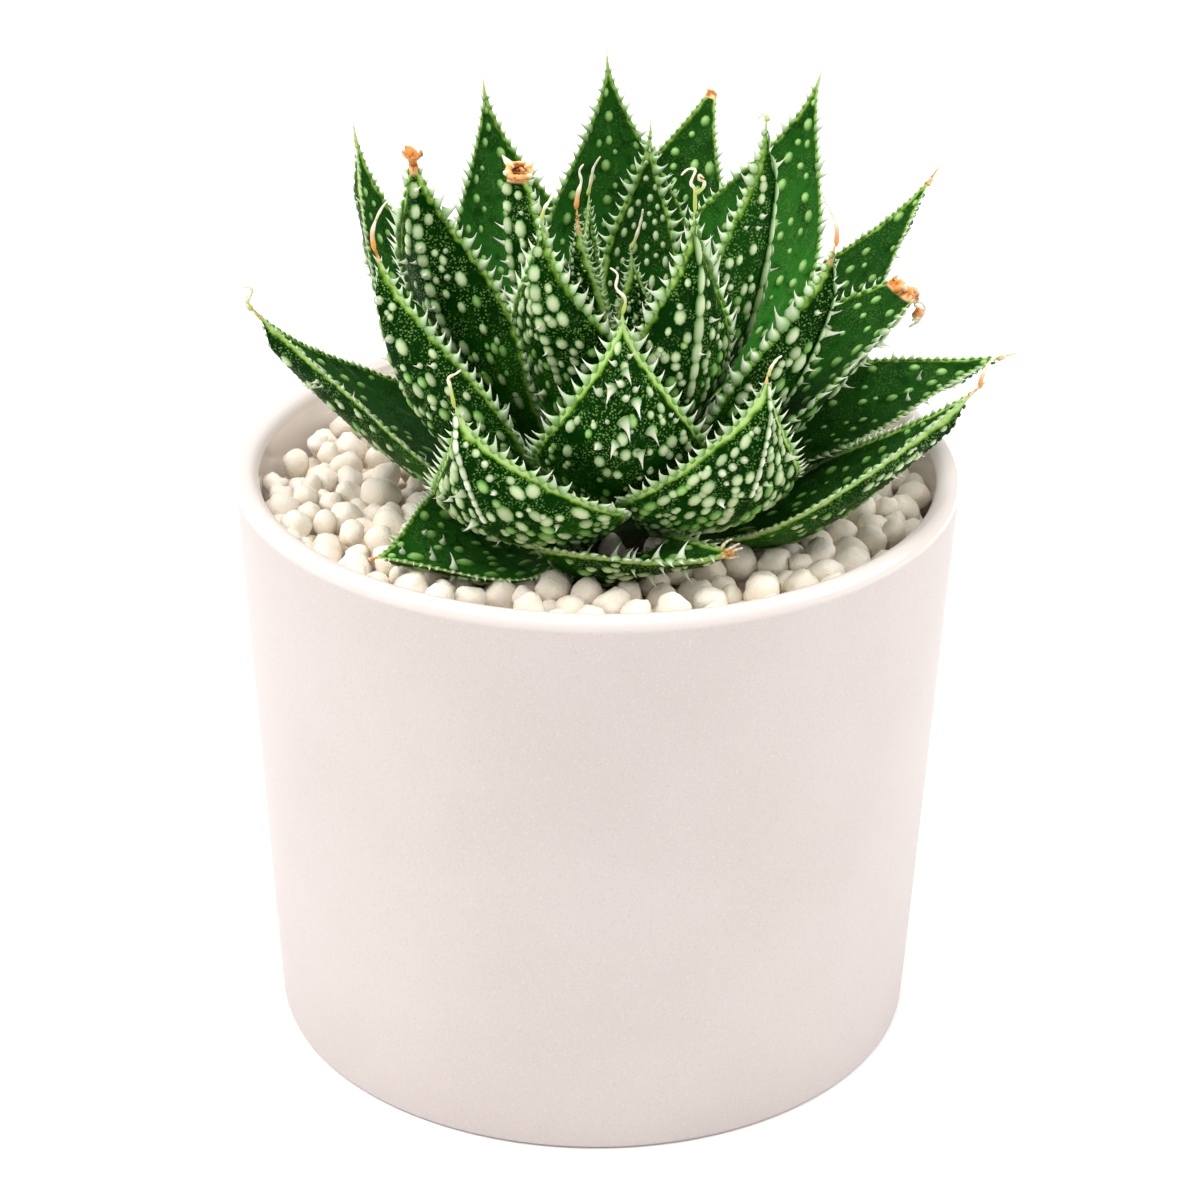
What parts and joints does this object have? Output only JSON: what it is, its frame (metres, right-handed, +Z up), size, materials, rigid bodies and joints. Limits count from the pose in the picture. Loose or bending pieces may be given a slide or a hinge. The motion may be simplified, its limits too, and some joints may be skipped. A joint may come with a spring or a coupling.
{
  "type": "potted aloe",
  "caption": "Small spotted aloe rosette with toothed, warty leaves, in a plain slightly tapered ceramic pot dressed with white pebbles.",
  "frame": {"origin": "centre of the pot's flat foot, where it stands", "axes": "+Z up along the pot's axis; the side seen in the picture faces -Y"},
  "size_m": [0.1295, 0.12, 0.166],
  "materials": {
    "glaze": "satin blush white ceramic glaze",
    "earth": "dark potting soil",
    "stone": "dull cream white pebbles",
    "stalk": "fleshy green stem",
    "flesh": "fleshy dark green leaf skin with pale warts"
  },
  "bodies": {
    "root": {"pot": "glaze", "soil": "earth", "pebbles": "stone", "stem": "stalk", "leaf_low_1": "flesh", "leaf_low_2": "flesh", "leaf_low_3": "flesh", "leaf_low_4": "flesh", "leaf_low_5": "flesh", "leaf_low_6": "flesh", "leaf_low_7": "flesh", "leaf_mid_1": "flesh", "leaf_mid_2": "flesh", "leaf_mid_3": "flesh", "leaf_mid_4": "flesh", "leaf_mid_5": "flesh", "leaf_mid_6": "flesh", "leaf_mid_7": "flesh", "leaf_mid_8": "flesh", "leaf_high_1": "flesh", "leaf_high_2": "flesh", "leaf_high_3": "flesh", "leaf_high_4": "flesh", "leaf_high_5": "flesh", "leaf_high_6": "flesh", "leaf_inner_1": "flesh", "leaf_inner_2": "flesh", "leaf_inner_3": "flesh", "leaf_inner_4": "flesh", "leaf_heart_1": "flesh", "leaf_heart_2": "flesh", "leaf_heart_3": "flesh", "leaf_heart_4": "flesh"}
  },
  "joints": []
}
